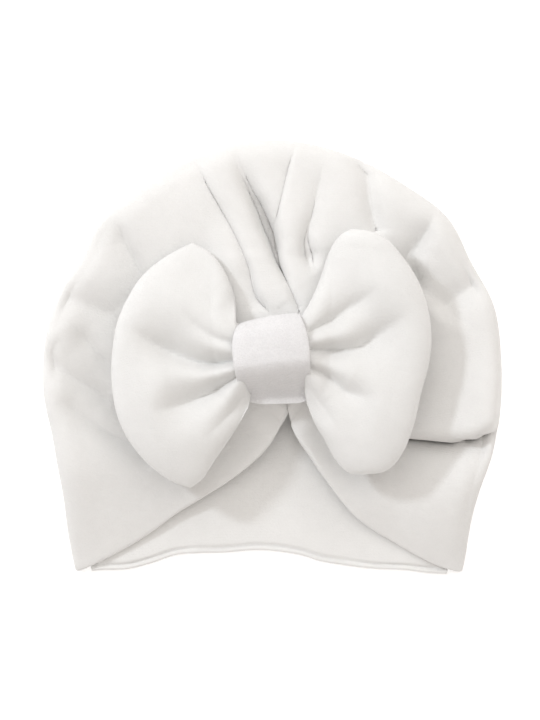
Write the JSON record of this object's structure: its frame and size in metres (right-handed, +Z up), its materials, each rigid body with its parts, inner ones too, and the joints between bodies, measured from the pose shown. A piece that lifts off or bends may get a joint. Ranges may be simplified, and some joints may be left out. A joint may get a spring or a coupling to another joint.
{
  "type": "baby turban",
  "caption": "Baby's jersey turban hat lying on its back: hollow pleated crown, crossed front hem and a puffy bow held by a knot band.",
  "frame": {"origin": "under the middle of the hat, on the surface that its back lies on", "axes": "+X to the right as seen from above, +Y to the closed top of the hat, +Z up through the bow; the head goes in from -Y"},
  "size_m": [0.1934, 0.1832, 0.0463],
  "materials": {
    "jersey": "brushed cotton jersey, matt"
  },
  "bodies": {
    "root": {"crown": "jersey", "bow": "jersey", "knot": "jersey"}
  },
  "joints": []
}
